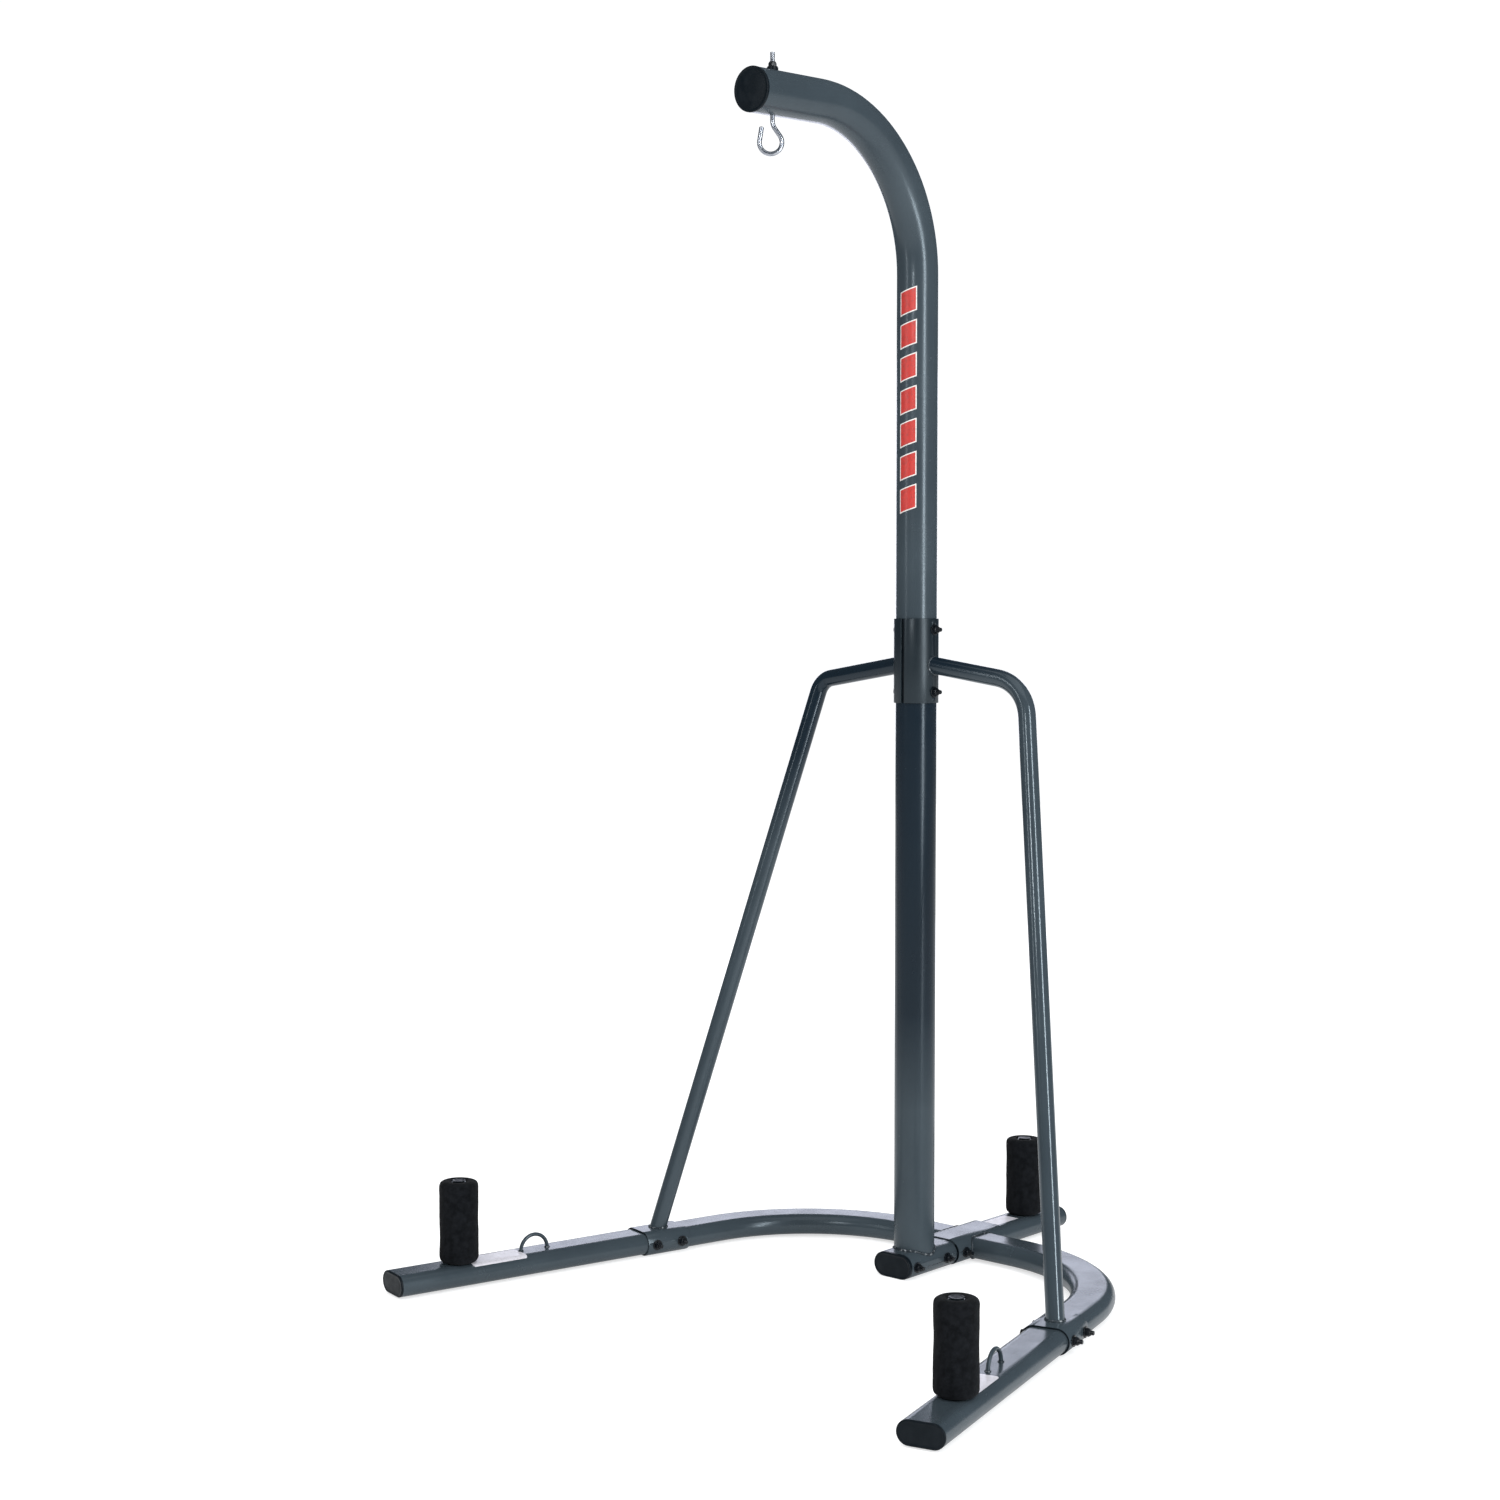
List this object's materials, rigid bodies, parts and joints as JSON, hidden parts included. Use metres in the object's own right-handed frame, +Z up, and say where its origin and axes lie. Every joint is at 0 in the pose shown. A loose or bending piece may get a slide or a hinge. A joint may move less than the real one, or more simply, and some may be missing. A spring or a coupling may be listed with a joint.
{
  "type": "heavy bag stand",
  "caption": "Free-standing tube stand for a heavy punching bag: a bent post with a hook, two side braces, a splayed oval-tube base and foam-covered weight pegs.",
  "frame": {"origin": "on the floor, at the middle of the stand's bounding box in plan", "axes": "+Z up; -Y is the front, where the arm and both legs reach; +X is the stand's left-to-right direction as seen from the front, so the node names' right is +X"},
  "size_m": [1.2796, 1.2256, 2.1892],
  "materials": {
    "powder_coat": "satin",
    "black_steel": "satin",
    "black_plastic": "satin",
    "zinc_steel": "satin",
    "foam": "matte"
  },
  "bodies": {
    "stand": {"lower_post": "powder_coat", "gooseneck": "powder_coat", "post_spigot": "powder_coat", "arm_cap": "black_plastic", "hook_seat": "black_plastic", "collar_left": "powder_coat", "collar_right": "powder_coat", "collar_bolts": "black_steel", "collar_washers": "black_steel", "collar_nuts": "black_steel", "brace_left": "powder_coat", "brace_right": "powder_coat", "leg_sleeve_left": "powder_coat", "leg_sleeve_right": "powder_coat", "leg_left": "powder_coat", "leg_right": "powder_coat", "leg_cap_left": "black_plastic", "leg_cap_right": "black_plastic", "leg_bolts": "black_steel", "leg_washers": "black_steel", "leg_nuts": "black_steel", "rear_tube_left": "powder_coat", "rear_tube_right": "powder_coat", "hub": "powder_coat", "rail": "powder_coat", "post_foot": "powder_coat", "front_cap": "black_plastic", "tail_cap": "black_plastic", "base_bolts": "black_steel", "base_washers": "black_steel", "base_nuts": "black_steel", "peg_left": "powder_coat", "peg_right": "powder_coat", "peg_rear": "powder_coat", "peg_cap_left": "black_plastic", "peg_cap_right": "black_plastic", "peg_cap_rear": "black_plastic", "tie_ring_left": "powder_coat", "tie_ring_right": "powder_coat"},
    "hook_assembly": {"hook": "zinc_steel", "hook_nut": "black_steel", "hook_washer": "black_steel"},
    "left_foam": {"foam_left": "foam"},
    "right_foam": {"foam_right": "foam"},
    "rear_foam": {"foam_rear": "foam"}
  },
  "joints": [
    {"name": "hook_swivel", "type": "hinge", "parent": "stand", "child": "hook_assembly", "pos_m": [0, -0.24618, 2.12119], "axis": [0, 0, 1], "continuous": true},
    {"name": "left_foam_slide", "type": "slide", "parent": "stand", "child": "left_foam", "axis": [0, 0, 1], "range_m": [0, 0.165]},
    {"name": "right_foam_slide", "type": "slide", "parent": "stand", "child": "right_foam", "axis": [0, 0, 1], "range_m": [0, 0.165]},
    {"name": "rear_foam_slide", "type": "slide", "parent": "stand", "child": "rear_foam", "axis": [0, 0, 1], "range_m": [0, 0.165]}
  ]
}
